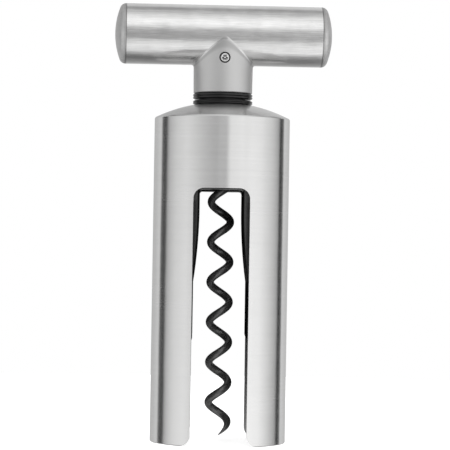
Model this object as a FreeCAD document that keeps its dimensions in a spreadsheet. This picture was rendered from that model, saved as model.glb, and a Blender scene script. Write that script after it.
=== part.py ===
import FreeCAD, Part
import math
import os
import re
import Sketcher

# Self-pulling bell corkscrew, in millimetres.
# The frame stands on the legs' feet: +Z up the worm, -Y to the front window, the handle's bar along X.

V = FreeCAD.Vector
UP = V(0, 0, 1)

DIMENSIONS = {
    # Stainless bell
    "bell_radius": 25.0,
    "bell_wall": 1.5,
    "rim_height": 119.4,
    "rim_bevel": 0.3,
    "dome_radius": 55.0,
    "foot_bevel": 0.3,
    "crown_hole_radius": 8.0,
    # Windows through the bell, front and back
    "window_half": 10.2,
    "window_top": 93.2,
    "window_corner": 3.8,
    "leg_corner": 4.0,
    # Moulded guide sleeve
    "sleeve_radius": 23.4,
    "sleeve_foot": 36.5,
    "sleeve_head": 117.6,
    "sleeve_ceiling": 115.6,
    "sleeve_skirt_wall": 1.2,
    "funnel_foot": 59.0,
    "bottle_seat_height": 71.0,
    "bottle_seat_depth": 2.0,
    "bottle_mouth_radius": 15.2,
    "cork_bore_radius": 13.0,
    "sleeve_wall": 1.6,
    "sleeve_window_half": 7.9,
    "sleeve_window_top": 92.8,
    "sleeve_window_corner": 1.0,
    "sleeve_flare_start": 86.0,
    "skirt_window_half": 9.86,
    "skirt_corner": 3.0,
    "core_floor": 76.0,
    "ceiling_hole_radius": 5.6,
    # Bearing rings between the bell and the neck
    "ring_radius": 11.0,
    "ring_bevel": 0.35,
    "lower_ring_top": 126.05,
    "upper_ring_foot": 126.45,
    "upper_ring_top": 128.7,
    "bush_spigot_radius": 7.9,
    "bush_foot": 119.2,
    "bush_gap": 0.03,
    "bearing_clearance": 0.05,
    "washer_radius": 8.5,
    "washer_gap": 0.03,
    # Spindle
    "spindle_radius": 5.0,
    "spindle_foot": 115.6,
    "spindle_top": 146.0,
    "spindle_bevel": 0.5,
    "spindle_bore_radius": 1.45,
    "spindle_bore_top": 130.0,
    "clip_foot": 118.1,
    "clip_thickness": 0.8,
    "clip_groove_depth": 0.8,
    "clip_radius": 7.4,
    "clip_opening": 5.0,
    "cut_overrun": 1.0,
    # Handle
    "handle_turn": 2.5,
    "bar_radius": 11.15,
    "bar_half": 36.15,
    "bar_height": 150.3,
    "tube_wall": 1.2,
    "cap_dome": 27.0,
    "cap_shoulder": 2.4,
    "cap_band": 34.0,
    "cap_spigot": 4.0,
    "cap_fit": 0.03,
    "neck_top_radius": 11.1,
    "neck_foot_radius": 10.85,
    "neck_foot": 128.7,
    "neck_bevel": 0.25,
    "neck_wall": 1.3,
    "saddle_round": 0.8,
    "plug_foot": 131.2,
    "plug_top": 147.0,
    "plug_fit": 0.05,
    # Lock screw through the neck
    "screw_height": 141.3,
    "screw_head_radius": 1.9,
    "screw_head_depth": 1.4,
    "screw_head_bevel": 0.15,
    "screw_hole_radius": 2.05,
    "screw_shank_radius": 1.5,
    "screw_reach": 6.9,
    "screw_face": 10.97,
    "socket_radius": 0.95,
    "socket_depth": 0.9,
    # Worm
    "coil_outer_radius": 4.98,
    "wire_radius": 1.42,
    "coil_pitch": 14.8,
    "coil_start_height": 8.0,
    "coil_phase": 19.0,
    "coil_turns": 6.35,
    "swing_turns": 0.5,
    "runs_per_turn": 12,
    "wire_sides": 12,
    "coil_crown": 113.4,
    "point_sweep": 106.0,
    "point_radius": 0.14,
    "point_power": 1.3,
    "point_sink": 0.7,
    "shank_top": 129.5,
}


def make_sheet(document):
    """Put every driving dimension into the spreadsheet, one aliased cell each."""
    sheet = document.addObject("Spreadsheet::Sheet", "Dims")
    for row, (alias, value) in enumerate(DIMENSIONS.items(), start=1):
        sheet.set(f"A{row}", alias.replace("_", " "))
        sheet.set(f"B{row}", str(value))
        sheet.setAlias(f"B{row}", alias)
    document.recompute()
    return sheet


doc = FreeCAD.newDocument("corkscrew")
dims = make_sheet(doc)


def number(expression):
    """Value of an expression in the sheet's names."""
    return float(dims.evalExpression(expression))


def bound(expression):
    """The expression as another object writes it, with the sheet's name before each alias."""
    return re.sub(r"[a-z_]+", lambda word: "Dims." + word[0] if word[0] in DIMENSIONS else word[0], expression)


def bind(thing, **settings):
    """Tie properties of an object to expressions in the sheet's names."""
    for name, expression in settings.items():
        thing.setExpression(name, bound(expression))


def make_body(label, turn=None):
    """Start a body under its node's name, turned about +Z where an angle is named."""
    body = doc.addObject("PartDesign::Body", label)
    body.Label = label
    if turn:
        body.Placement = FreeCAD.Placement(V(0, 0, 0), FreeCAD.Rotation(UP, number(turn)))
        bind(body, **{".Placement.Rotation.Angle": turn})
    return body


def make_sketch(body, name, plane, offset=None):
    """Attach an empty sketch to one of the body's own origin planes, lifted by an expression."""
    sketch = body.newObject("Sketcher::SketchObject", name)
    support = next(item for item in body.Origin.OriginFeatures if item.Role == plane)
    sketch.AttachmentSupport = [(support, "")]
    sketch.MapMode = "FlatFace"
    if offset:
        bind(sketch, **{".AttachmentOffset.Base.z": offset})
    return sketch


def dimension(sketch, kind, references, expression):
    """Add a driving dimension to a sketch and tie it to the sheet."""
    index = sketch.addConstraint(Sketcher.Constraint(kind, *references, number(expression)))
    sketch.setExpression(f"Constraints[{index}]", bound(expression))


def arc_between(start, end, radius):
    """Circle arc from start to end: it turns left for a positive radius and right for a negative one."""
    chord = end - start
    rise = math.sqrt(max(radius ** 2 - (chord.Length / 2) ** 2, 0.0))
    left = V(-chord.y, chord.x, 0).normalize()
    centre = (start + end) * 0.5 + left * math.copysign(rise, radius)
    first, last = (start, end) if radius > 0 else (end, start)
    angles = [math.atan2(point.y - centre.y, point.x - centre.x) for point in (first, last)]
    return Part.ArcOfCircle(Part.Circle(centre, UP, abs(radius)), *angles)


def draw_outline(sketch, corners):
    """Draw a closed outline through corners.

    A corner is a pair of expressions, or three: the third is the radius of the arc that leaves the corner,
    with a minus sign where the arc turns right. Every corner and radius is tied to the sheet.
    """
    points = [V(number(corner[0]), number(corner[1]), 0) for corner in corners]
    ends = []
    for index, corner in enumerate(corners):
        start = points[index]
        end = points[(index + 1) % len(points)]
        if len(corner) == 2:
            edge = sketch.addGeometry(Part.LineSegment(start, end), False)
            ends.append((edge, 1, 2))
            continue
        signed = number(corner[2])
        edge = sketch.addGeometry(arc_between(start, end, signed), False)
        ends.append((edge, 1, 2) if signed > 0 else (edge, 2, 1))
        dimension(sketch, "Radius", (edge,), corner[2].lstrip("-") if signed < 0 else corner[2])
    for index, corner in enumerate(corners):
        edge, start, _ = ends[index]
        before, _, end = ends[index - 1]
        sketch.addConstraint(Sketcher.Constraint("Coincident", before, end, edge, start))
        dimension(sketch, "DistanceX", (-1, 1, edge, start), corner[0])
        dimension(sketch, "DistanceY", (-1, 1, edge, start), corner[1])


def draw_circle(sketch, across, along, radius):
    """Draw a circle with its centre and radius tied to the sheet."""
    centre = V(number(across), number(along), 0)
    edge = sketch.addGeometry(Part.Circle(centre, UP, number(radius)), False)
    dimension(sketch, "Radius", (edge,), radius)
    dimension(sketch, "DistanceX", (-1, 1, edge, 3), across)
    dimension(sketch, "DistanceY", (-1, 1, edge, 3), along)


def turn_profile(body, name, corners, axis="V_Axis", cut=False):
    """Revolve an outline drawn in the XZ plane about the body's Z (or X) axis, as material or as a cut."""
    sketch = make_sketch(body, name + "_profile", "XZ_Plane")
    draw_outline(sketch, corners)
    feature = body.newObject("PartDesign::Groove" if cut else "PartDesign::Revolution", name)
    feature.Profile = sketch
    feature.ReferenceAxis = (sketch, [axis])
    feature.Angle = 360
    doc.recompute()
    return feature


def cut_profile(body, sketch, name, depth=None, both_ways=False, reverse=False):
    """Cut a sketch through the body, or to a depth; both_ways cuts to either side of its plane."""
    before = body.Shape.Volume
    feature = body.newObject("PartDesign::Pocket", name)
    feature.Profile = sketch
    if depth:
        bind(feature, Length=depth)
    else:
        feature.Type = "ThroughAll"
    feature.Reversed = reverse
    if both_ways:
        feature.SideType = "Symmetric"
    doc.recompute()
    if body.Shape.Volume >= before:
        raise RuntimeError(f"{name} in {body.Label} removes nothing")
    return feature


def round_edges(body, name, radius, wanted):
    """Fillet the edges of the body's last feature for which wanted(edge) is true."""
    base = body.Tip
    chosen = [f"Edge{index}" for index, edge in enumerate(base.Shape.Edges, start=1) if wanted(edge)]
    feature = body.newObject("PartDesign::Fillet", name)
    feature.Base = (base, chosen)
    bind(feature, Radius=radius)
    doc.recompute()
    return feature


def dome_height(radius, expression="dome_radius"):
    """Expression for the height of the crown's sphere, or of one that is parallel to it, at a radius."""
    centre = "(rim_height - sqrt(dome_radius ^ 2 - bell_radius ^ 2))"
    return f"{centre} + sqrt(({expression}) ^ 2 - ({radius}) ^ 2)"


def make_bell_shell():
    """Drawn stainless bell: tube, shallow crown with a hole, and a window front and back that leaves two legs."""
    body = make_body("bell_shell")
    inner = "bell_radius - bell_wall"
    inner_dome = "dome_radius - bell_wall"
    middle = "(crown_hole_radius + bell_radius) / 2"
    bevel_radius = "bell_radius - rim_bevel"
    turn_profile(body, "tube_and_crown", [
        ("bell_radius - foot_bevel", "0"),
        ("bell_radius", "foot_bevel"),
        ("bell_radius", "rim_height - rim_bevel"),
        (bevel_radius, dome_height(bevel_radius), "dome_radius"),
        ("crown_hole_radius", dome_height("crown_hole_radius")),
        ("crown_hole_radius", dome_height("crown_hole_radius", inner_dome)),
        (middle, dome_height(middle, inner_dome)),
        (inner, dome_height(inner, inner_dome)),
        (inner, "0"),
    ])
    sketch = make_sketch(body, "window_outline", "XZ_Plane")
    draw_outline(sketch, [
        ("-window_half - leg_corner", "0"),
        ("window_half + leg_corner", "0", "-leg_corner"),
        ("window_half", "leg_corner"),
        ("window_half", "window_top - window_corner", "window_corner"),
        ("window_half - window_corner", "window_top"),
        ("window_corner - window_half", "window_top", "window_corner"),
        ("-window_half", "window_top - window_corner"),
        ("-window_half", "leg_corner", "-leg_corner"),
    ])
    cut_profile(body, sketch, "windows", both_ways=True)
    return body


def make_guide_sleeve():
    """Moulded sleeve: skirt, funnel and seat for the bottle's mouth, cork bore with a ceiling, cored sides."""
    body = make_body("guide_sleeve")
    turn_profile(body, "sleeve", [
        ("sleeve_radius - sleeve_skirt_wall", "sleeve_foot"),
        ("sleeve_radius", "sleeve_foot"),
        ("sleeve_radius", "sleeve_head"),
        ("ceiling_hole_radius", "sleeve_head"),
        ("ceiling_hole_radius", "sleeve_ceiling"),
        ("cork_bore_radius", "sleeve_ceiling"),
        ("cork_bore_radius", "bottle_seat_height"),
        ("bottle_mouth_radius", "bottle_seat_height"),
        ("bottle_mouth_radius", "bottle_seat_height - bottle_seat_depth"),
        ("sleeve_radius - sleeve_skirt_wall", "funnel_foot"),
    ])
    flare = "((sleeve_flare_start - funnel_foot) ^ 2 + (skirt_window_half - sleeve_window_half) ^ 2)" \
            " / (2 * (skirt_window_half - sleeve_window_half))"
    sketch = make_sketch(body, "sleeve_window_outline", "XZ_Plane")
    draw_outline(sketch, [
        ("-skirt_window_half - skirt_corner", "sleeve_foot"),
        ("skirt_window_half + skirt_corner", "sleeve_foot", "-skirt_corner"),
        ("skirt_window_half", "sleeve_foot + skirt_corner"),
        ("skirt_window_half", "funnel_foot", f"-({flare})"),
        ("sleeve_window_half", "sleeve_flare_start"),
        ("sleeve_window_half", "sleeve_window_top - sleeve_window_corner", "sleeve_window_corner"),
        ("sleeve_window_half - sleeve_window_corner", "sleeve_window_top"),
        ("sleeve_window_corner - sleeve_window_half", "sleeve_window_top", "sleeve_window_corner"),
        ("-sleeve_window_half", "sleeve_window_top - sleeve_window_corner"),
        ("-sleeve_window_half", "sleeve_flare_start", f"-({flare})"),
        ("-skirt_window_half", "funnel_foot"),
        ("-skirt_window_half", "sleeve_foot + skirt_corner", "-skirt_corner"),
    ])
    cut_profile(body, sketch, "sleeve_windows", both_ways=True)
    for side, sign in (("right", ""), ("left", "-")):
        core_sides(body, side, sign)
    return body


def core_sides(body, side, sign):
    """Core out the sleeve from above on one side, between the cork bore's wall and the outer wall."""
    inner = "(cork_bore_radius + sleeve_wall)"
    outer = "(sleeve_radius - sleeve_wall)"
    face = "(sleeve_window_half + sleeve_wall)"
    inner_half = f"sqrt({inner} ^ 2 - {face} ^ 2)"
    outer_half = f"sqrt({outer} ^ 2 - {face} ^ 2)"
    turn = "" if sign else "-"
    sketch = make_sketch(body, side + "_core_outline", "XY_Plane", "sleeve_head")
    draw_outline(sketch, [
        (f"{sign}{face}", f"-{inner_half}"),
        (f"{sign}{face}", f"-{outer_half}", f"{'-' if sign else ''}{outer}"),
        (f"{sign}{face}", outer_half),
        (f"{sign}{face}", inner_half, f"{turn}{inner}"),
    ])
    cut_profile(body, sketch, side + "_core", depth="sleeve_head - core_floor")


def make_bell_bush():
    """Flanged bush of the bell: the lower black ring, with a spigot through the crown."""
    body = make_body("bell_bush")
    edge = "(ring_radius - ring_bevel)"
    seat = "dome_radius + bush_gap"
    middle = f"(bush_spigot_radius + {edge}) / 2"
    turn_profile(body, "bush", [
        ("spindle_radius + bearing_clearance", "bush_foot"),
        ("bush_spigot_radius", "bush_foot"),
        ("bush_spigot_radius", dome_height("bush_spigot_radius", seat)),
        (middle, dome_height(middle, seat)),
        (edge, dome_height(edge, seat)),
        ("ring_radius", dome_height(edge, seat) + " + ring_bevel"),
        ("ring_radius", "lower_ring_top - ring_bevel"),
        (edge, "lower_ring_top"),
        ("spindle_radius + bearing_clearance", "lower_ring_top"),
    ])
    return body


def make_neck_bush():
    """Flanged bush of the neck: the upper black ring, with a spigot up into the neck."""
    body = make_body("neck_bush")
    edge = "ring_radius - ring_bevel"
    spigot = "neck_foot_radius - neck_wall - plug_fit"
    turn_profile(body, "bush", [
        ("spindle_radius + cap_fit", "upper_ring_foot"),
        (edge, "upper_ring_foot"),
        ("ring_radius", "upper_ring_foot + ring_bevel"),
        ("ring_radius", "upper_ring_top - ring_bevel"),
        (edge, "upper_ring_top"),
        (spigot, "upper_ring_top"),
        (spigot, "plug_foot"),
        ("spindle_radius + cap_fit", "plug_foot"),
    ])
    return body


def make_thrust_washer():
    """Thin washer that carries the pull between the two rings."""
    body = make_body("thrust_washer")
    turn_profile(body, "washer", [
        ("spindle_radius + cap_fit", "lower_ring_top + washer_gap"),
        ("washer_radius", "lower_ring_top + washer_gap"),
        ("washer_radius", "upper_ring_foot"),
        ("spindle_radius + cap_fit", "upper_ring_foot"),
    ])
    return body


def make_spindle():
    """Turned spindle: blind bore for the worm's shank, clip groove, and a dimple for the lock screw's point."""
    body = make_body("spindle", "handle_turn")
    groove = "spindle_radius - clip_groove_depth"
    turn_profile(body, "shaft", [
        ("spindle_bore_radius", "spindle_foot"),
        ("spindle_radius", "spindle_foot"),
        ("spindle_radius", "clip_foot"),
        (groove, "clip_foot"),
        (groove, "clip_foot + clip_thickness + bearing_clearance"),
        ("spindle_radius", "clip_foot + clip_thickness + bearing_clearance"),
        ("spindle_radius", "spindle_top - spindle_bevel"),
        ("spindle_radius - spindle_bevel", "spindle_top"),
        ("0", "spindle_top"),
        ("0", "spindle_bore_top"),
        ("spindle_bore_radius", "spindle_bore_top"),
    ])
    sketch = make_sketch(body, "dimple_outline", "XZ_Plane", "screw_face - screw_reach")
    draw_circle(sketch, "0", "screw_height", "screw_shank_radius + cap_fit")
    cut_profile(body, sketch, "screw_dimple", reverse=True)
    return body


def make_retaining_ring():
    """Open clip that holds the spindle up against the bell's bush."""
    body = make_body("retaining_ring")
    inner = "spindle_radius - clip_groove_depth + cap_fit"
    foot = "clip_foot + cap_fit"
    top = "clip_foot + clip_thickness"
    turn_profile(body, "clip", [
        (inner, foot),
        ("clip_radius", foot),
        ("clip_radius", top),
        (inner, top),
    ])
    sketch = make_sketch(body, "clip_opening_outline", "XY_Plane", top)
    draw_outline(sketch, [
        ("-clip_opening / 2", "0"),
        ("clip_opening / 2", "0"),
        ("clip_opening / 2", "clip_radius + cut_overrun"),
        ("-clip_opening / 2", "clip_radius + cut_overrun"),
    ])
    cut_profile(body, sketch, "clip_opening")
    return body


def make_handle_shell():
    """Hollow T of the handle: the bar's tube and the neck meet in a rounded saddle, with the screw's hole."""
    body = make_body("handle_shell", "handle_turn")
    turn_profile(body, "neck", [
        ("0", "neck_foot"),
        ("neck_foot_radius - neck_bevel", "neck_foot"),
        ("neck_foot_radius", "neck_foot + neck_bevel"),
        ("neck_top_radius", "bar_height"),
        ("0", "bar_height"),
    ])
    bar = make_sketch(body, "bar_outline", "YZ_Plane")
    draw_circle(bar, "0", "bar_height", "bar_radius")
    tube = body.newObject("PartDesign::Pad", "bar")
    tube.Profile = bar
    tube.SideType = "Symmetric"
    bind(tube, Length="2 * bar_half")
    doc.recompute()
    above = number("bar_height - bar_radius - cut_overrun")
    reach = number("neck_top_radius + cut_overrun")
    round_edges(body, "saddle", "saddle_round", lambda edge: (
        edge.BoundBox.ZMin > above and edge.BoundBox.XLength > number("bar_radius")
        and max(abs(edge.BoundBox.XMin), abs(edge.BoundBox.XMax)) < reach
    ))
    hollow = make_sketch(body, "bore_outline", "YZ_Plane")
    draw_circle(hollow, "0", "bar_height", "bar_radius - tube_wall")
    cut_profile(body, hollow, "bar_bore", both_ways=True)
    turn_profile(body, "neck_bore", [
        ("0", "neck_foot - cut_overrun"),
        ("neck_foot_radius - neck_wall", "neck_foot - cut_overrun"),
        ("neck_foot_radius - neck_wall", "bar_height"),
        ("0", "bar_height"),
    ], cut=True)
    hole = make_sketch(body, "screw_hole_outline", "XZ_Plane")
    draw_circle(hole, "0", "screw_height", "screw_hole_radius")
    cut_profile(body, hole, "screw_hole", reverse=True)
    return body


def make_end_cap(label, side):
    """Cap with a spigot that closes one end of the bar; side is 1 for the +X end and -1 for the other.

    Its dome and the rounded shoulder beside it are narrow cones.
    """
    body = make_body(label)
    spigot = "bar_radius - tube_wall - cap_fit"
    shoulder = "(bar_radius - cap_shoulder)"
    centre = f"sqrt((cap_dome - cap_shoulder) ^ 2 - {shoulder} ^ 2)"
    rim = f"(cap_dome * {shoulder} / (cap_dome - cap_shoulder))"
    bands = [rim, f"{rim} / 2", "0"]
    turn_profile(body, "cap", [
        ("0", "-cap_spigot"),
        (spigot, "-cap_spigot"),
        (spigot, "0"),
        ("bar_radius", "0"),
        (f"{shoulder} + cap_shoulder * cos(cap_band)", "cap_shoulder * sin(cap_band)"),
    ] + [(radius, f"sqrt(cap_dome ^ 2 - ({radius}) ^ 2) - {centre}") for radius in bands])
    lay = FreeCAD.Rotation(V(0, 1, 0), 90 * side)
    turn = FreeCAD.Rotation(UP, number("handle_turn"))
    seat = turn.multVec(V(side * number("bar_half"), 0, number("bar_height")))
    body.Placement = FreeCAD.Placement(seat, turn.multiply(lay))
    return body


def make_neck_plug():
    """Turned plug inside the neck: bored for the spindle and tapped across for the lock screw."""
    body = make_body("neck_plug", "handle_turn")
    outer = "neck_foot_radius - neck_wall - plug_fit"
    turn_profile(body, "plug", [
        ("spindle_radius + cap_fit", "plug_foot"),
        (outer, "plug_foot"),
        (outer, "plug_top"),
        ("spindle_radius + cap_fit", "plug_top"),
    ])
    tapped = make_sketch(body, "tapped_hole_outline", "XZ_Plane")
    draw_circle(tapped, "0", "screw_height", "screw_shank_radius + cap_fit")
    cut_profile(body, tapped, "tapped_hole", reverse=True)
    return body


def make_lock_screw():
    """Flush-headed screw with a socket; drawn along +Z, laid to the front."""
    body = make_body("lock_screw")
    turn_profile(body, "screw", [
        ("0", "-screw_reach"),
        ("screw_shank_radius", "-screw_reach"),
        ("screw_shank_radius", "-screw_head_depth"),
        ("screw_head_radius", "-screw_head_depth"),
        ("screw_head_radius", "-screw_head_bevel"),
        ("screw_head_radius - screw_head_bevel", "0"),
        ("0", "0"),
    ])
    socket = make_sketch(body, "socket_outline", "XY_Plane")
    draw_circle(socket, "0", "0", "socket_radius")
    cut_profile(body, socket, "socket", depth="socket_depth")
    lay = FreeCAD.Rotation(V(1, 0, 0), 90)
    turn = FreeCAD.Rotation(UP, number("handle_turn"))
    seat = turn.multVec(V(0, -number("screw_face"), number("screw_height")))
    body.Placement = FreeCAD.Placement(seat, turn.multiply(lay))
    return body


def worm_centre(turns):
    """Centre of the worm's wire, a number of turns up from where its full coils start, near its right-hand side.

    The coil keeps its radius up to coil_turns and then swings in to the axis over swing_turns.
    """
    coil_radius = number("coil_outer_radius - wire_radius")
    swing = min(max((turns - number("coil_turns")) / number("swing_turns"), 0.0), 1.0)
    radius = coil_radius * (1 - 3 * swing ** 2 + 2 * swing ** 3)
    lift = number("coil_crown - coil_start_height - coil_pitch * (coil_turns + swing_turns)")
    height = number("coil_start_height") + number("coil_pitch") * turns + lift * swing ** 2
    angle = 2 * math.pi * turns + math.radians(number("coil_phase"))
    return V(radius * math.cos(angle), radius * math.sin(angle), height)


def wire_outline(centre, tangent, radius):
    """Many-sided outline of the wire, square to its run, from the corner that is farthest from the axis."""
    side = tangent.cross(V(centre.x, centre.y, 0)).normalize()
    outward = side.cross(tangent).normalize()
    sides = round(number("wire_sides"))
    corners = []
    for index in range(sides + 1):
        angle = 2 * math.pi * index / sides
        corners.append(centre + (outward * math.cos(angle) + side * math.sin(angle)) * radius)
    return Part.makePolygon(corners)


def point_section(turns):
    """Outline of the worm's point, below its first full coil, with its lower edge kept on the coil's line."""
    wire = number("wire_radius")
    taper = -turns * 360 / number("point_sweep")
    radius = wire + (number("point_radius") - wire) * taper ** number("point_power")
    step = 0.002
    tangent = worm_centre(turns + step) - worm_centre(turns - step)
    centre = worm_centre(turns) - UP * number("point_sink") * (wire - radius)
    return wire_outline(centre, tangent, radius)


def make_worm():
    """Right-handed open worm: a lofted point, and one wire swept up the coils and on to the axis.

    The sweep follows short straight runs and the wire has many flat sides, so that each face is plane.
    """
    turns = number("coil_turns + swing_turns")
    steps = round(turns * number("runs_per_turn"))
    crown = [worm_centre(turns * step / steps) for step in range(steps + 1)]
    path = Part.makePolygon(crown + [V(0, 0, number("shank_top"))])
    outline = wire_outline(crown[0], crown[1] - crown[0], number("wire_radius"))
    sweep = Part.BRepOffsetAPI.MakePipeShell(path)
    sweep.setFrenetMode(False)
    sweep.setTransitionMode(1)
    sweep.add(outline)
    sweep.build()
    sweep.makeSolid()
    sections = [point_section(-number("point_sweep") / 360 * share) for share in (1.0, 0.75, 0.5, 0.25)]
    point = Part.makeLoft(sections + [outline], True, True)
    feature = doc.addObject("Part::Feature", "worm")
    feature.Label = "worm"
    feature.Shape = point.fuse(sweep.shape())
    return feature


def make_all():
    """Build every sub-part, in the order in which the corkscrew goes together."""
    return [
        make_bell_shell(),
        make_guide_sleeve(),
        make_bell_bush(),
        make_thrust_washer(),
        make_neck_bush(),
        make_spindle(),
        make_retaining_ring(),
        make_worm(),
        make_neck_plug(),
        make_handle_shell(),
        make_end_cap("left_end_cap", -1),
        make_end_cap("right_end_cap", 1),
        make_lock_screw(),
    ]


def check_document():
    """Stop if any object of the document failed to compute."""
    for item in doc.Objects:
        if "Invalid" in item.State or "Error" in item.State:
            raise RuntimeError(f"{item.Label} is {item.State}")


def write_parts(parts):
    """Write each sub-part's solid to a file under its node's name."""
    os.makedirs("parts", exist_ok=True)
    for part in parts:
        shape = part.Shape
        if shape.isNull() or not shape.isValid() or len(shape.Solids) != 1:
            raise RuntimeError(f"{part.Label} isn't one valid solid")
    for part in parts:
        part.Shape.exportStep(os.path.join("parts", part.Label + ".step"))
        print(f"{part.Label}: {part.Shape.Volume:.1f} mm3")


all_parts = make_all()
doc.recompute()
check_document()
write_parts(all_parts)
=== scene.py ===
"""Bell corkscrew: a T-handle and a coated worm that turn in a brushed steel bell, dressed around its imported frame."""

import logging
import math
from dataclasses import dataclass, field
from enum import Enum

import bmesh
import bpy
from mathutils import Matrix, Vector


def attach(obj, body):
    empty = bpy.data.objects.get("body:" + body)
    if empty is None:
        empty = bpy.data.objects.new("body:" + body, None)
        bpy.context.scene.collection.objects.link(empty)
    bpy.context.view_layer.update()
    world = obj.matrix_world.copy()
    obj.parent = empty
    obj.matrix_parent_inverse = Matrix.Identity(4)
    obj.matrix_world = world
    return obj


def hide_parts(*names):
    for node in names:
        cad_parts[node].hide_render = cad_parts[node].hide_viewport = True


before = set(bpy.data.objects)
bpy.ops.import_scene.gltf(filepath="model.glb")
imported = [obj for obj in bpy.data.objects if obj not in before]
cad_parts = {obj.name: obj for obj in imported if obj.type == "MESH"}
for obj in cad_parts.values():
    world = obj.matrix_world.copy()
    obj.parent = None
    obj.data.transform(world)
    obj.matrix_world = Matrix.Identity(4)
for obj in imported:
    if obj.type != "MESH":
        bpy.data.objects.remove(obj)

MM = 0.001
WHITE = (1.0, 1.0, 1.0, 1.0)
BLACK = (0.0, 0.0, 0.0, 1.0)

# The handle's turn at rest, in degrees, and sizes that the solids and the finishes share, in millimetres.
HANDLE_TURN = 2.5
BAR_HEIGHT = 150.3
BAR_RADIUS = 11.15
BAR_HALF = 36.15
RIM_HEIGHT = 119.4
BELL_RADIUS = 25.0
WINDOW_HALF = 10.2
WINDOW_STRAIGHT = 88.8
SLEEVE_WINDOW_TOP = 92.2
FLARE_TOP = 86.0
FLARE_HALF = 7.9

# How fast the sleeve's windows flare below FLARE_TOP: metres of half width for each square metre of fall.
FLARE_CURVE = 2.69

log = logging.getLogger("corkscrew")


class Lay(Enum):
    """Which way the brushing of a metal surface runs."""

    ROUND_Z = "round the upright axis"
    HANDLE = "along the bar on the bar, and round the upright axis on the neck"
    NONE = "no brushing"


class Value:
    """A number socket of a shader that can be used in Python expressions."""

    def __init__(self, graph: "Graph", socket: bpy.types.NodeSocket) -> None:
        """Keep the graph that new nodes go to, and the output socket."""
        self.graph = graph
        self.socket = socket

    def _math(self, operation: str, *others: "Value | float") -> "Value":
        """Add a Math node that takes this value first."""
        return self.graph.math(operation, self, *others)

    def __add__(self, other: "Value | float") -> "Value":
        """This value plus another."""
        return self._math("ADD", other)

    def __radd__(self, other: float) -> "Value":
        """A number plus this value."""
        return self.graph.math("ADD", other, self)

    def __sub__(self, other: "Value | float") -> "Value":
        """This value less another."""
        return self._math("SUBTRACT", other)

    def __rsub__(self, other: float) -> "Value":
        """A number less this value."""
        return self.graph.math("SUBTRACT", other, self)

    def __mul__(self, other: "Value | float") -> "Value":
        """This value times another."""
        return self._math("MULTIPLY", other)

    def __rmul__(self, other: float) -> "Value":
        """A number times this value."""
        return self.graph.math("MULTIPLY", other, self)

    def __truediv__(self, other: "Value | float") -> "Value":
        """This value divided by another."""
        return self._math("DIVIDE", other)

    def __pow__(self, other: float) -> "Value":
        """This value to a power."""
        return self._math("POWER", other)

    def size(self) -> "Value":
        """This value without its sign."""
        return self._math("ABSOLUTE")

    def at_least(self, other: "Value | float") -> "Value":
        """The larger of this value and another."""
        return self._math("MAXIMUM", other)

    def step(self, low: float, high: float) -> "Value":
        """Zero below low, one above high, and a smooth rise between them."""
        node = self.graph.node(
            "ShaderNodeMapRange",
            {"interpolation_type": "SMOOTHSTEP"},
            {"Value": self, "From Min": low, "From Max": high},
        )
        return Value(self.graph, node.outputs["Result"])


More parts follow.
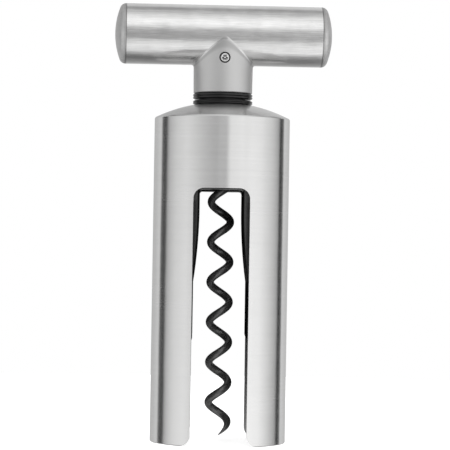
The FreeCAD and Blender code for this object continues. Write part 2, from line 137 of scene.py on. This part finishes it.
class Graph:
    """The node tree of a material or of the world, and the ways in which nodes are added to it."""

    def __init__(self, owner: bpy.types.Material | bpy.types.World) -> None:
        """Empty the owner's tree and keep it."""
        owner.use_nodes = True
        self.tree = owner.node_tree
        self.tree.nodes.clear()

    def node(self, kind: str, settings: dict | None = None, inputs: dict | None = None) -> bpy.types.Node:
        """Add one node.

        Args:
            kind: the node's type, such as ShaderNodeTexNoise.
            settings: attributes that are set before its sockets; a colour ramp's stops are under "stops".
            inputs: sockets by name or place, each a number, a colour, a Value or an output socket.

        Returns:
            The new node.
        """
        made = self.tree.nodes.new(kind)
        for name, value in (settings or {}).items():
            if name == "stops":
                self._set_stops(made.color_ramp, value)
            else:
                setattr(made, name, value)
        for name, value in (inputs or {}).items():
            target = made.inputs[name]
            if isinstance(value, Value):
                value = value.socket
            if isinstance(value, bpy.types.NodeSocket):
                self.tree.links.new(value, target)
            else:
                target.default_value = value
        return made

    def math(self, operation: str, *values: "Value | float") -> Value:
        """Add a Math node for the operation and return its result."""
        made = self.node("ShaderNodeMath", {"operation": operation}, dict(enumerate(values)))
        return Value(self, made.outputs[0])

    def angle(self, across: Value, along: Value, stops: list[tuple[float, float]]) -> Value:
        """Read grey stops of (degrees, level) at the angle of a direction, from -180 to 180 degrees."""
        share = self.math("ARCTAN2", across, along) / (2 * math.pi) + 0.5
        places = [(degrees / 360 + 0.5, level / 2) for degrees, level in stops]
        made = self.node("ShaderNodeValToRGB", {"stops": places}, {"Fac": share})
        return Value(self, made.outputs["Color"]) * 2

    def noise(self, vector: bpy.types.NodeSocket, scale: float, detail: float = 2.0) -> Value:
        """Read a noise texture at a vector."""
        made = self.node("ShaderNodeTexNoise", None, {"Vector": vector, "Scale": scale, "Detail": detail})
        return Value(self, made.outputs["Fac"])

    def place(self, turn_degrees: float = 0.0) -> bpy.types.NodeSocket:
        """Object coordinates, turned back about Z."""
        own = self.node("ShaderNodeTexCoord").outputs["Object"]
        turn = (0.0, 0.0, math.radians(-turn_degrees))
        return self.node("ShaderNodeMapping", None, {"Vector": own, "Rotation": turn}).outputs[0]

    def split(self, vector: bpy.types.NodeSocket) -> tuple[Value, Value, Value]:
        """The three parts of a vector."""
        parts = self.node("ShaderNodeSeparateXYZ", None, {"Vector": vector})
        return tuple(Value(self, parts.outputs[axis]) for axis in "XYZ")

    def grey(self, level: Value, tint: tuple[float, float, float]) -> bpy.types.NodeSocket:
        """Colour of the tint, made darker by a level under one."""
        made = self.node(
            "ShaderNodeMix",
            {"data_type": "RGBA", "blend_type": "MIX"},
            {"Factor": level, 6: BLACK, 7: (*tint, 1.0)},
        )
        return made.outputs[2]

    def paint_shade(self, face: bpy.types.NodeSocket, share: Value, grey: float) -> bpy.types.NodeSocket:
        """Mix a dark matt grey into a shader by a share from zero to one, as painted shade."""
        matt = self.node("ShaderNodeBsdfDiffuse", None, {"Color": (grey, grey, grey, 1.0)})
        return self.node("ShaderNodeMixShader", None, {0: share, 1: face, 2: matt.outputs[0]}).outputs[0]

    def seen(self) -> Value:
        """One for rays that come straight from the camera."""
        return Value(self, self.node("ShaderNodeLightPath").outputs["Is Camera Ray"])

    def output(self, kind: str, shader: bpy.types.NodeSocket) -> None:
        """Link a shader to the tree's output of that kind."""
        self.node(kind, None, {"Surface": shader})

    @staticmethod
    def _set_stops(ramp: bpy.types.ColorRamp, stops: list[tuple[float, float]]) -> None:
        """Give a colour ramp grey stops."""
        while len(ramp.elements) > 1:
            ramp.elements.remove(ramp.elements[-1])
        for index, (place, level) in enumerate(stops):
            stop = ramp.elements[0] if index == 0 else ramp.elements.new(place)
            stop.position = place
            stop.color = (level, level, level, 1.0)


@dataclass(frozen=True)
class BrushedSteel:
    """Stainless steel with fine brushing.

    Levels are grey values, and falls of painted shade are taken from them: the neck is set darker than the bar,
    and the bar's ends and joints darker still. Scales are those of noise textures; the along
    scales are the ones in the brushing's direction. Depths are in metres.
    """

    name: str
    lay: Lay
    level: float = 0.70
    neck_shade_level: float = 0.58
    joint_shade: float = 0.12
    gap_shade_share: float = 2.6
    end_shade: float = 0.10
    inside_shade: float = 0.62
    inside_shade_grey: float = 0.06
    tint: tuple[float, float, float] = (1.0, 0.998, 0.994)
    roughness: float = 0.26
    neck_roughness: float = 0.50
    crown_roughness: float = 0.19
    end_blur: float = 0.40
    streak_blur: float = 0.30
    anisotropy: float = 1.0
    anisotropic_turn: float = 0.25
    fine_across: float = 2600.0
    fine_along: float = 110.0
    fine_share: float = 0.6
    broad_across: float = 700.0
    broad_along: float = 170.0
    cloud_scale: float = 160.0
    wave_scale: float = 90.0
    streaks: float = 0.18
    clouds: float = 0.06
    line_depth: float = 0.00002
    line_strength: float = 0.15
    broad_strength: float = 0.0
    wave_depth: float = 0.00006

    def material(self) -> bpy.types.Material:
        """Build the finish's material."""
        made = bpy.data.materials.new(self.name)
        graph = Graph(made)
        place = graph.place(HANDLE_TURN if self.lay is Lay.HANDLE else 0.0)
        on_bar, on_ends, shaded_joints, on_crown, inside = self._parts(graph, place)
        fine = self._lines(graph, place, on_bar, self.fine_across, self.fine_along)
        broad = self._lines(graph, place, on_bar, self.broad_across, self.broad_along)
        cloud = graph.noise(place, self.cloud_scale, 3.0)
        streak = fine * self.fine_share + broad * (1 - self.fine_share)
        # Painted shade: the neck under the bar is set darker than the bar, and the bar's ends and joints darker still.
        level = on_bar * self.level + (1 - on_bar) * self.neck_shade_level - on_ends * self.end_shade
        level = level - shaded_joints * self.joint_shade
        level = level * (1 + on_bar * ((streak - 0.5) * self.streaks + (cloud - 0.5) * self.clouds))
        rough = self.roughness - on_crown * (self.roughness - self.crown_roughness)
        rough = rough * (1 - self.streak_blur / 2 + streak * self.streak_blur)
        rough = rough * on_bar + (1 - on_bar) * self.neck_roughness + on_ends * self.end_blur
        wave = graph.noise(place, self.wave_scale, 1.0)
        lines = fine * self.line_strength + broad * self.broad_strength * on_bar
        height = lines * self.line_depth + wave * self.wave_depth
        bump = graph.node("ShaderNodeBump", None, {"Strength": 1.0, "Distance": 1.0, "Height": height})
        shader = graph.node(
            "ShaderNodeBsdfPrincipled",
            None,
            {
                "Base Color": graph.grey(level, self.tint),
                "Metallic": 1.0,
                "Roughness": rough,
                "Anisotropic": self.anisotropy if self.lay is Lay.ROUND_Z else 0.0,
                "Anisotropic Rotation": self.anisotropic_turn,
                "Normal": bump.outputs["Normal"],
            },
        )
        face = shader.outputs["BSDF"]
        # Painted shade: a dark matt grey over the bell's inside and the cut faces of its windows.
        if self.lay is Lay.ROUND_Z:
            face = graph.paint_shade(face, inside * self.inside_shade, self.inside_shade_grey)
        graph.output("ShaderNodeOutputMaterial", face)
        return made

    def _parts(self, graph: Graph, place: bpy.types.NodeSocket) -> tuple["Value | float", ...]:
        """Masks of the surface's parts.

        Args:
            graph: the material's graph.
            place: Object coordinates, turned with the handle where the finish is the handle's.

        Returns:
            Five masks: zero on the handle's neck and one elsewhere; and one on the bar's ends and on the joints
            of the bar, both darkened by painted shade, on the bell's crown, and on the bell's inside with the cut faces
            of its windows, which take painted shade.
        """
        across, along, height = graph.split(place)
        if self.lay is Lay.ROUND_Z:
            beside = across.size().step((WINDOW_HALF + 0.02) * MM, (WINDOW_HALF + 0.12) * MM)
            above = height.step((WINDOW_STRAIGHT - 1.0) * MM, WINDOW_STRAIGHT * MM)
            crown = height.step(RIM_HEIGHT * MM, (RIM_HEIGHT + 0.3) * MM)
            reach = (across ** 2 + along ** 2) ** 0.5
            inside = (1 - reach.step((BELL_RADIUS - 0.7) * MM, (BELL_RADIUS - 0.4) * MM)) * (1 - above)
            return 1.0, 0.0, 0.0, crown, inside.at_least((1 - beside) * (1 - above))
        if self.lay is Lay.NONE:
            return 1.0, 0.0, 0.0, 0.0, 0.0
        reach = (along ** 2 + (height - BAR_HEIGHT * MM) ** 2) ** 0.5
        out = across.size()
        on_bar = 1 - reach.step((BAR_RADIUS + 0.02) * MM, (BAR_RADIUS + 0.4) * MM)
        on_ends = out.step((BAR_HALF - 0.2) * MM, (BAR_HALF + 0.5) * MM)
        # Painted shade along the saddle and the cap seams, deepest in the gap at each seam.
        saddle = self._band(reach, BAR_RADIUS + 0.01, BAR_RADIUS + 1.1)
        seams = self._band(out, BAR_HALF - 0.05, BAR_HALF + 0.7)
        gap = out.step((BAR_HALF - 0.25) * MM, (BAR_HALF - 0.10) * MM)
        gap = gap * (1 - out.step((BAR_HALF + 0.10) * MM, (BAR_HALF + 0.30) * MM))
        return on_bar, on_ends, saddle + seams + gap * self.gap_shade_share, 0.0, 0.0

    @staticmethod
    def _band(value: Value, low: float, high: float) -> Value:
        """One between two millimetre values, with a sharp lower edge and a soft upper one."""
        return value.step(low * MM, (low + 0.06) * MM) * (1 - value.step((high - 0.4) * MM, (high + 0.4) * MM))

    def _lines(
        self, graph: Graph, place: bpy.types.NodeSocket, on_bar: "Value | float", across: float, along: float,
    ) -> Value:
        """Noise that is drawn out along the brushing, with a scale across it and a smaller one along it."""
        upright = graph.node("ShaderNodeMapping", None, {"Vector": place, "Scale": (along, along, across)})
        round_z = graph.noise(upright.outputs[0], 1.0)
        if self.lay is not Lay.HANDLE:
            return round_z
        level = graph.node("ShaderNodeMapping", None, {"Vector": place, "Scale": (along, across, across)})
        along_x = graph.noise(level.outputs[0], 1.0)
        return along_x * on_bar + round_z * (1 - on_bar)


@dataclass(frozen=True)
class Moulding:
    """Black moulded plastic or a black coat on wire, with a fine grain.

    The shade band is how far, in millimetres, the painted shade on the window's cut faces, a near-black matt grey, runs
    out beside them.
    """

    name: str
    level: float
    roughness: float
    grain: float = 2500.0
    grain_depth: float = 0.00002
    grain_strength: float = 0.12
    grain_blur: float = 0.3
    patchiness: float = 0.2
    patch_scale: float = 140.0
    sheen: float = 0.0
    shade_band: float = 0.0
    shade_band_shift: float = 0.25
    shade_band_grey: float = 0.008

    def material(self) -> bpy.types.Material:
        """Build the finish's material."""
        made = bpy.data.materials.new(self.name)
        graph = Graph(made)
        place = graph.place()
        grain = graph.noise(place, self.grain, 3.0)
        cloud = graph.noise(place, self.patch_scale, 2.0)
        level = self.level * (1 - self.patchiness / 2 + cloud * self.patchiness)
        bump = graph.node(
            "ShaderNodeBump", None,
            {"Strength": self.grain_strength, "Distance": self.grain_depth, "Height": grain},
        )
        shader = graph.node(
            "ShaderNodeBsdfPrincipled",
            None,
            {
                "Base Color": graph.grey(level, (1.0, 1.0, 1.0)),
                "Roughness": self.roughness * (1 - self.grain_blur / 2 + grain * self.grain_blur),
                "Metallic": self.sheen,
                "Normal": bump.outputs["Normal"],
            },
        )
        face = shader.outputs["BSDF"]
        # Painted shade: a near-black matt grey on the windows' cut faces and beside them.
        if self.shade_band:
            face = graph.paint_shade(face, self._window_shade(graph, place), self.shade_band_grey)
        graph.output("ShaderNodeOutputMaterial", face)
        return made

    def _window_shade(self, graph: Graph, place: bpy.types.NodeSocket) -> Value:
        """Where painted shade goes: one on the cut faces of the windows and in the band beside them, and zero farther
        out.
        """
        across, along, height = graph.split(place)
        fall = (FLARE_TOP * MM - height).at_least(0.0)
        edge = FLARE_HALF * MM + fall ** 2 * FLARE_CURVE
        reach = (across + self.shade_band_shift * MM).size()
        beside = 1 - (reach - edge).step((self.shade_band - 0.1) * MM, (self.shade_band + 0.1) * MM)
        return beside * (1 - height.step(SLEEVE_WINDOW_TOP * MM, (SLEEVE_WINDOW_TOP + 0.4) * MM))


def finish_piece(
    name: str, shape: bmesh.types.BMesh, finish: bpy.types.Material, body: str,
) -> bpy.types.Object:
    """Turn a bmesh into a smooth piece that wears a finish and rides on a body.

    Args:
        name: the piece's name.
        shape: the bmesh, in metres in the frame; it is freed.
        finish: the material.
        body: the body that it rides on.

    Returns:
        The new object.
    """
    mesh = bpy.data.meshes.new(name)
    shape.to_mesh(mesh)
    shape.free()
    mesh.shade_smooth()
    piece = bpy.data.objects.new(name, mesh)
    bpy.context.scene.collection.objects.link(piece)
    mesh.materials.append(finish)
    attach(piece, body)
    log.info("%s: %d faces", name, len(mesh.polygons))
    return piece


def dress(node: str, finish: bpy.types.Material) -> None:
    """Give a CAD node a finish in every material slot."""
    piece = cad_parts[node]
    for slot in piece.material_slots:
        slot.material = finish
    if not piece.material_slots:
        piece.data.materials.append(finish)


def arc(
    centre: tuple[float, float], radius: float, start: float, end: float, steps: int,
) -> list[tuple[float, float]]:
    """Points of (reach, height) on an arc between two angles in degrees, from the reach's direction."""
    angles = [math.radians(start + (end - start) * index / steps) for index in range(steps + 1)]
    return [(centre[0] + radius * math.cos(angle), centre[1] + radius * math.sin(angle)) for angle in angles]


def spun(profile: list[tuple[float, float]], segments: int, lay: Matrix | None = None) -> bmesh.types.BMesh:
    """Spin a closed profile of (reach, height) in millimetres about +Z, and lay the result by a matrix."""
    shape = bmesh.new()
    verts = [shape.verts.new((reach * MM, 0.0, height * MM)) for reach, height in profile]
    edges = [shape.edges.new(pair) for pair in zip(verts, verts[1:] + verts[:1])]
    bmesh.ops.spin(
        shape, geom=verts + edges, cent=(0, 0, 0), axis=(0, 0, 1), angle=2 * math.pi,
        steps=segments, use_merge=True,
    )
    bmesh.ops.remove_doubles(shape, verts=shape.verts[:], dist=0.000001)
    if lay:
        bmesh.ops.transform(shape, matrix=lay, verts=shape.verts[:])
    bmesh.ops.recalc_face_normals(shape, faces=shape.faces[:])
    return shape


@dataclass
class Worm:
    """The open worm: a point, round coils of coated wire, and a shank on the axis; sizes in millimetres.

    Above its full coils the wire swings in to the axis. Below them it thins to the point, which sinks
    towards the coil's underside.
    """

    outer_radius: float = 4.98
    wire_radius: float = 1.42
    pitch: float = 14.8
    start_height: float = 8.0
    phase_degrees: float = 19.0
    turns: float = 6.35
    swing_turns: float = 0.5
    crown_height: float = 113.4
    shank_top: float = 129.0
    point_degrees: float = 106.0
    point_radius: float = 0.14
    point_sink: float = 0.7
    taper_power: float = 1.3
    steps_per_turn: int = 40
    sides: int = 28

    def angle(self, turns: float) -> float:
        """Angle round the axis, a number of turns up from where the full coils start."""
        return 2 * math.pi * turns + math.radians(self.phase_degrees)

    def centre(self, turns: float) -> Vector:
        """Centre of the wire at a number of turns."""
        swing = min(max((turns - self.turns) / self.swing_turns, 0.0), 1.0)
        radius = (self.outer_radius - self.wire_radius) * (1 - 3 * swing ** 2 + 2 * swing ** 3)
        lift = self.crown_height - self.start_height - self.pitch * (self.turns + self.swing_turns)
        height = self.start_height + self.pitch * turns + lift * swing ** 2
        return Vector((radius * math.cos(self.angle(turns)), radius * math.sin(self.angle(turns)), height)) * MM

    def thickness(self, turns: float) -> float:
        """Radius of the wire in metres, which thins to the point below zero turns."""
        taper = min(max(-turns * 360 / self.point_degrees, 0.0), 1.0)
        return (self.wire_radius + (self.point_radius - self.wire_radius) * taper ** self.taper_power) * MM

    def station(self, turns: float) -> Matrix:
        """Place, direction and size of the wire's section."""
        step = 0.002
        tangent = (self.centre(turns + step) - self.centre(turns - step)).normalized()
        outward = Vector((math.cos(self.angle(turns)), math.sin(self.angle(turns)), 0.0))
        side = tangent.cross(outward).normalized()
        outward = side.cross(tangent)
        thick = self.thickness(turns)
        sink = Vector((0.0, 0.0, self.point_sink * (self.wire_radius * MM - thick)))
        turned = Matrix((outward, side, tangent)).transposed().to_4x4()
        return Matrix.Translation(self.centre(turns) - sink) @ turned @ Matrix.Scale(thick, 4)

    def build(self, finish: bpy.types.Material) -> bpy.types.Object:
        """Extrude a circle from station to station and close both ends."""
        shape = bmesh.new()
        point = -self.point_degrees / 360
        last = self.turns + self.swing_turns
        count = round((last - point) * self.steps_per_turn)
        stations = [self.station(point + (last - point) * index / count) for index in range(count + 1)]
        top = stations[-1].copy()
        top.translation.z = self.shank_top * MM
        stations.append(top)
        circle = bmesh.ops.create_circle(shape, cap_ends=False, segments=self.sides, radius=1.0, matrix=stations[0])
        ring = list({edge for vert in circle["verts"] for edge in vert.link_edges})
        bmesh.ops.contextual_create(shape, geom=ring)
        for before, after in zip(stations, stations[1:]):
            made = bmesh.ops.extrude_edge_only(shape, edges=ring)["geom"]
            verts = [item for item in made if isinstance(item, bmesh.types.BMVert)]
            ring = [item for item in made if isinstance(item, bmesh.types.BMEdge)]
            bmesh.ops.transform(shape, matrix=after @ before.inverted(), verts=verts)
        bmesh.ops.contextual_create(shape, geom=ring)
        bmesh.ops.recalc_face_normals(shape, faces=shape.faces[:])
        piece = finish_piece("worm_wire", shape, finish, "handle")
        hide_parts("worm")
        return piece


@dataclass
class Handle:
    """Smooth ends of the bar and the lock screw's head; sizes in millimetres.

    The screw's depths are counted inwards from its face.
    """

    tube_wall: float = 1.2
    cap_fit: float = 0.03
    dome: float = 27.45
    shoulder: float = 2.4
    spigot: float = 4.0
    screw_height: float = 141.3
    screw_face: float = 10.97
    screw_head: float = 1.58
    screw_shank: float = 1.5
    screw_length: float = 6.9
    head_depth: float = 1.4
    chamfer: float = 0.12
    socket_radius: float = 1.0
    star_depth: float = 0.1
    star_thickness: float = 0.015
    star_core: float = 0.62
    lobe_reach: float = 0.68
    lobe_radius: float = 0.2
    lobes: int = 6
    pin_radius: float = 0.4

    def build(self, steel: bpy.types.Material, bright: bpy.types.Material, dark: bpy.types.Material) -> None:
        """Build both end caps and the screw."""
        for name, side in (("left_end_cap", -1), ("right_end_cap", 1)):
            self._cap(name, side, steel)
        self._screw(bright, dark)

    def _cap(self, node: str, side: int, steel: bpy.types.Material) -> None:
        """Spin one domed cap with its rounded shoulder."""
        seat = BAR_RADIUS - self.shoulder
        lean = math.degrees(math.asin(seat / (self.dome - self.shoulder)))
        depth = (self.dome - self.shoulder) * math.cos(math.radians(lean))
        bore = BAR_RADIUS - self.tube_wall - self.cap_fit
        profile = [(0.0, -self.spigot), (bore, -self.spigot), (bore, 0.0)]
        profile += arc((seat, 0.0), self.shoulder, 0.0, 90.0 - lean, 10)
        profile += arc((0.0, -depth), self.dome, 90.0 - lean, 90.0, 16)[1:]
        lay = Matrix.Rotation(math.radians(HANDLE_TURN), 4, "Z")
        lay = lay @ Matrix.Translation((side * BAR_HALF * MM, 0.0, BAR_HEIGHT * MM))
        lay = lay @ Matrix.Rotation(math.radians(90 * side), 4, "Y")
        piece = finish_piece(node + "_round", spun(profile, 96, lay), steel, "handle")
        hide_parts(node)

    def _screw(self, bright: bpy.types.Material, dark: bpy.types.Material) -> None:
        """Spin the screw with a chamfered head, and set a black six-lobe sheet, painted shade for the socket, with a
        pin into it.
        """
        lay = Matrix.Rotation(math.radians(HANDLE_TURN), 4, "Z")
        lay = lay @ Matrix.Translation((0.0, -self.screw_face * MM, self.screw_height * MM))
        lay = lay @ Matrix.Rotation(math.radians(90), 4, "X")
        head, shank, deep = self.screw_head, self.screw_shank, self.chamfer
        profile = [
            (0.0, -self.screw_length), (shank, -self.screw_length), (shank, -self.head_depth),
            (head, -self.head_depth), (head, -deep), (head - deep, 0.0),
            (self.socket_radius, 0.0), (self.socket_radius, -deep), (0.0, -deep),
        ]
        piece = finish_piece("lock_screw_head", spun(profile, 48, lay), bright, "handle")
        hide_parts("lock_screw")
        # Painted shade: a thin black six-lobe sheet just under the face stands for the socket's shaded depth.
        top, foot = -self.star_depth, -self.star_depth - self.star_thickness
        shape = spun([(0.0, foot), (self.star_core, foot), (self.star_core, top), (0.0, top)], 24)
        for index in range(self.lobes):
            turn = Matrix.Rotation(2 * math.pi * index / self.lobes, 4, "Z")
            place = turn @ Matrix.Translation((self.lobe_reach * MM, 0.0, top * MM))
            bmesh.ops.create_circle(shape, cap_ends=True, segments=16, radius=self.lobe_radius * MM, matrix=place)
        bmesh.ops.transform(shape, matrix=lay, verts=shape.verts[:])
        finish_piece("lock_screw_socket_shade", shape, dark, "handle")
        foot, rim, tip = -0.11, -0.08, -0.05
        pin = spun([(0.0, foot), (self.pin_radius, foot), (self.pin_radius, rim), (0.0, tip)], 24, lay)
        finish_piece("lock_screw_pin", pin, bright, "handle")


@dataclass
class Rings:
    """The two black bearing rings; sizes in millimetres.

    Each rim has two rounded beads with a groove between them. Where the rims meet the crown, the neck and
    each other, a step leaves a dark line.
    """

    radius: float = 11.0
    bore: float = 5.05
    lower_top: float = 126.05
    upper_foot: float = 126.45
    upper_top: float = 128.7
    rim_round: float = 0.6
    groove: float = 0.35
    recess: float = 0.55
    recess_height: float = 0.25
    gap_step: float = 0.16
    spigot: float = 7.9
    bush_foot: float = 119.2
    neck_spigot: float = 9.5
    plug_foot: float = 131.2
    crown_centre: float = 70.42
    crown_radius: float = 55.03

    def crown(self, reach: float) -> float:
        """Height of the bell's crown at a reach."""
        return self.crown_centre + math.sqrt(self.crown_radius ** 2 - reach ** 2)

    def rim(self, low: float, high: float) -> list[tuple[float, float]]:
        """Rounded outer rim between two heights."""
        curve = min(self.rim_round, (high - low) / 2)
        centre = self.radius - curve
        return arc((centre, low + curve), curve, -90, 0, 6) + arc((centre, high - curve), curve, 0, 90, 6)

    def grooved(self, low: float, high: float) -> list[tuple[float, float]]:
        """Outer face of a ring between two heights: two rounded beads with a groove between them."""
        middle = (low + high) / 2
        beads = self.rim(low, middle)[:-1], self.rim(middle, high)[1:]
        return beads[0] + [(self.radius - self.groove, middle)] + beads[1]

    def build(self, black: bpy.types.Material) -> None:
        """Build both bushes with their rings."""
        inner = self.radius - self.recess
        foot = self.crown(self.radius - self.rim_round) + self.recess_height
        gap_foot, gap_top = self.lower_top - self.gap_step, self.upper_foot + self.gap_step
        lower = [(self.bore, self.bush_foot), (self.spigot, self.bush_foot), (self.spigot, self.crown(self.spigot))]
        lower += [(inner, self.crown(inner)), (inner, foot)] + self.grooved(foot, gap_foot)
        lower += [(inner, gap_foot), (inner, self.lower_top), (self.bore, self.lower_top)]
        piece = finish_piece("bell_bush_ring", spun(lower, 96), black, "bell")
        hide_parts("bell_bush")
        head = self.upper_top - self.recess_height
        upper = [(self.bore, self.upper_foot), (inner, self.upper_foot), (inner, gap_top)]
        upper += self.grooved(gap_top, head) + [(inner, head), (inner, self.upper_top)]
        upper += [(self.neck_spigot, self.upper_top), (self.neck_spigot, self.plug_foot), (self.bore, self.plug_foot)]
        piece = finish_piece("neck_bush_ring", spun(upper, 96), black, "handle")
        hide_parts("neck_bush")


@dataclass
class Studio:
    """White backdrop, pale floor, soft world light and the camera; sizes in millimetres and degrees.

    Level stops give the light by the angle round the object from the camera, right-hand side positive, and
    tilt stops how much it grows downwards. Rise stops give it by the angle up from the camera's direction,
    over the top and underneath. The world is split by the parts of a ray's unit direction: to the side the
    level counts, and before, above and below the object the rise counts.
    """

    camera_distance: float = 820.0
    camera_right: float = -9.0
    camera_height: float = 72.0
    yaw: float = 0.741
    pitch: float = 0.568
    roll: float = 0.93
    lens: float = 177.3
    floor_radius: float = 420.0
    floor_grey: float = 0.9
    floor_glow: float = 0.80
    lowest_tilt: float = -0.25
    tilt_end: tuple[float, float] = (0.2, 0.5)
    darkest_tilt: float = 0.4
    under: tuple[float, float] = (0.85, 0.97)
    under_side: float = 0.12
    under_gain: float = 0.6
    side_middle: float = 0.06
    side_edge: tuple[float, float] = (0.05, 0.19)
    upward_edge: tuple[float, float] = (0.45, 0.85)
    level_stops: list[tuple[float, float]] = field(default_factory=lambda: [
        (-180, 0.46), (-150, 0.60), (-126, 0.82), (-123, 0.05), (-109, 0.07),
        (-105, 0.58), (-99, 0.72), (-84, 0.97), (-63, 1.10), (-46, 0.92), (-24, 0.69), (-8, 0.56), (0, 0.62),
        (5, 1.02), (27, 1.08), (52, 1.32), (72, 1.26), (90, 0.94), (108, 0.63), (114, 0.53), (117, 0.04),
        (129, 0.04), (132, 0.84), (150, 0.66), (180, 0.46),
    ])
    tilt_stops: list[tuple[float, float]] = field(default_factory=lambda: [
        (-180, 0.0), (-108, 0.0), (-92, 1.7), (-60, 2.0), (-15, 2.0), (-3, 0.0), (36, 0.0), (48, 2.6), (80, 2.0),
        (100, 0.0), (180, 0.0),
    ])
    rise_stops: list[tuple[float, float]] = field(default_factory=lambda: [
        (-180, 0.75), (-150, 0.45), (-129, 0.30), (-104, 0.17), (-86, 0.34), (-66, 0.94), (-50, 1.08),
        (-32, 0.94), (-20, 0.40), (-6, 0.41), (7, 0.46), (18, 0.66), (28, 1.20), (44, 1.34), (60, 1.12),
        (74, 0.96), (84, 0.68), (96, 0.64), (106, 0.43), (118, 0.44), (128, 0.78), (144, 0.78), (180, 0.66),
    ])

    def build(self) -> None:
        """Set up the world, the floor, the camera and the view."""
        bpy.context.scene.view_settings.view_transform = "Standard"
        self._world()
        self._floor()
        self._camera()

    def _world(self) -> None:
        """White for the camera; a soft studio for everything that the object reflects."""
        world = bpy.data.worlds.new("studio")
        bpy.context.scene.world = world
        graph = Graph(world)
        right, back, up = graph.split(graph.node("ShaderNodeTexCoord").outputs["Generated"])
        front = 0 - back
        level = graph.angle(right, front, self.level_stops)
        down = 0 - up
        near_level = up.at_least(self.lowest_tilt) * (1 - down.step(*self.tilt_end))
        tilt = near_level * graph.angle(right, front, self.tilt_stops)
        level = level * (1 - tilt).at_least(self.darkest_tilt)
        rise = graph.angle(up, front, self.rise_stops)
        rise = rise * (1 + down.step(*self.under) * right.step(0.0, self.under_side) * self.under_gain)
        sideways = (right - self.side_middle).size().step(*self.side_edge)
        part = sideways * (1 - up.size().step(*self.upward_edge))
        studio = level * part + rise * (1 - part)
        seen = graph.seen()
        shader = graph.node("ShaderNodeBackground", None, {"Color": WHITE, "Strength": studio * (1 - seen) + seen})
        graph.output("ShaderNodeOutputWorld", shader.outputs[0])

    def _floor(self) -> None:
        """Round pale floor that keeps the object's soft shadow."""
        shape = bmesh.new()
        bmesh.ops.create_circle(shape, cap_ends=True, segments=96, radius=self.floor_radius * MM)
        data = bpy.data.meshes.new("floor")
        shape.to_mesh(data)
        shape.free()
        floor = bpy.data.objects.new("floor", data)
        bpy.context.scene.collection.objects.link(floor)
        made = bpy.data.materials.new("floor_white")
        graph = Graph(made)
        seen = graph.seen()
        grey = (self.floor_grey, self.floor_grey, self.floor_grey, 1.0)
        diffuse = graph.node("ShaderNodeBsdfDiffuse", None, {"Color": grey})
        glow = graph.node("ShaderNodeEmission", None, {"Color": WHITE, "Strength": self.floor_glow})
        both = graph.node("ShaderNodeAddShader", None, {0: diffuse.outputs[0], 1: glow.outputs[0]})
        clear = graph.node("ShaderNodeBsdfTransparent")
        mixed = graph.node("ShaderNodeMixShader", None, {0: seen, 1: clear.outputs[0], 2: both.outputs[0]})
        graph.output("ShaderNodeOutputMaterial", mixed.outputs[0])
        data.materials.append(made)

    def _camera(self) -> None:
        """Camera before the front window, turned, tilted and rolled as the photograph shows."""
        data = bpy.data.cameras.new("camera")
        data.sensor_width = 36.0
        data.lens = self.lens
        data.clip_start = 0.01
        data.clip_end = 20.0
        camera = bpy.data.objects.new("camera", data)
        bpy.context.scene.collection.objects.link(camera)
        place = Vector((self.camera_right, -self.camera_distance, self.camera_height)) * MM
        turn = Matrix.Rotation(math.radians(-self.yaw), 4, "Z")
        tilt = Matrix.Rotation(math.radians(90 + self.pitch), 4, "X")
        roll = Matrix.Rotation(math.radians(self.roll), 4, "Z")
        camera.matrix_world = Matrix.Translation(place) @ turn @ tilt @ roll
        bpy.context.scene.camera = camera


def main() -> None:
    """Dress the frame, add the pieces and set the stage."""
    logging.basicConfig(level=logging.INFO, format="%(name)s: %(message)s")
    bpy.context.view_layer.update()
    bell_steel = BrushedSteel("bell_steel", Lay.ROUND_Z, fine_along=30.0, broad_along=12.0).material()
    handle_steel = BrushedSteel(
        "handle_steel", Lay.HANDLE, roughness=0.19, line_strength=1.1, broad_strength=1.7, streaks=0.45, clouds=0.3,
    ).material()
    bright_steel = BrushedSteel("bright_steel", Lay.NONE, roughness=0.2).material()
    black = Moulding("black_moulding", level=0.005, roughness=0.17).material()
    sleeve = Moulding("sleeve_moulding", level=0.03, roughness=0.42, shade_band=0.55).material()
    coat = Moulding(
        "worm_coat", level=0.15, roughness=0.36, grain=900.0, grain_strength=0.6, patchiness=1.0, patch_scale=420.0,
        sheen=0.65,
    ).material()
    # Painted shade: the neck plug and the thrust washer wear the black moulding so that the gaps round the screw's head
    # and between the rings read dark.
    finishes = {
        "bell_shell": bell_steel, "guide_sleeve": sleeve, "bell_bush": black, "neck_bush": black,
        "thrust_washer": black, "spindle": bright_steel, "retaining_ring": bright_steel,
        "neck_plug": black, "handle_shell": handle_steel, "left_end_cap": handle_steel,
        "right_end_cap": handle_steel, "lock_screw": bright_steel, "worm": coat,
    }
    for node, finish in finishes.items():
        dress(node, finish)
    Worm().build(coat)
    Handle().build(handle_steel, bright_steel, black)
    Rings().build(black)
    Studio().build()


if __name__ == "__main__":
    main()
